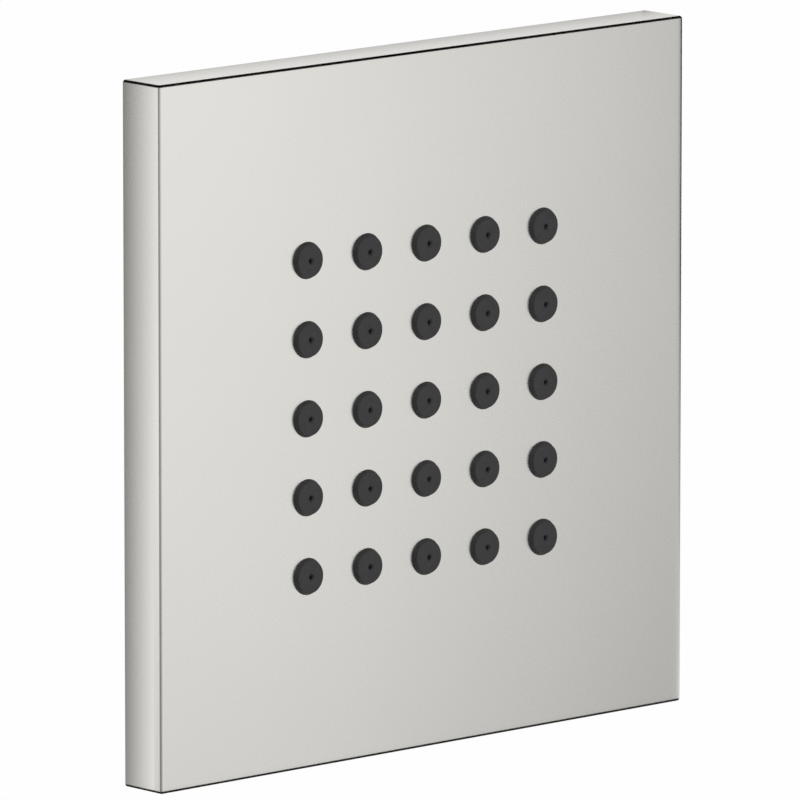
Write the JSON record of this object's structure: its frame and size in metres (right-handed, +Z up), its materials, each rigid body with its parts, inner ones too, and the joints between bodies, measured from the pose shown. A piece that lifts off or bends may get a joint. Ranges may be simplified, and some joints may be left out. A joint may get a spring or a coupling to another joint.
{
  "type": "shower body jet",
  "caption": "Square flush shower body jet: satin metal face plate with a grid of black silicone nozzles, a water chamber behind it, a plug-in inlet and a wall bracket.",
  "frame": {"origin": "centre of the wall plane, which the backs of the plate's rim and of the gasket meet", "axes": "+Y into the wall along the inlet's axis, +Z up, +X to the right as seen from the front"},
  "size_m": [0.12, 0.0363, 0.12],
  "materials": {
    "satin_metal": "satin stainless steel with a very fine grain",
    "black_silicone": "matt black silicone",
    "grey_plastic": "moulded grey acetal",
    "screw_steel": "plain stainless steel",
    "seal_rubber": "black nitrile rubber",
    "white_plastic": "white moulded plastic",
    "mesh_steel": "woven stainless steel mesh",
    "brass": "turned brass",
    "fibre": "red-brown sealing fibre",
    "sheet_steel": "mill-finish stainless sheet",
    "foam_rubber": "black closed-cell foam"
  },
  "bodies": {
    "root": {"face_plate": "satin_metal", "nozzle_mat": "black_silicone", "chamber_cover": "grey_plastic", "cover_screws": "screw_steel", "spigot_seal_front": "seal_rubber", "spigot_seal_rear": "seal_rubber", "flow_regulator": "white_plastic", "regulator_ring": "seal_rubber", "strainer": "mesh_steel", "wall_connector": "brass", "thread_washer": "fibre", "wall_bracket": "sheet_steel", "grub_screws": "screw_steel", "wall_gasket": "foam_rubber"}
  },
  "joints": []
}
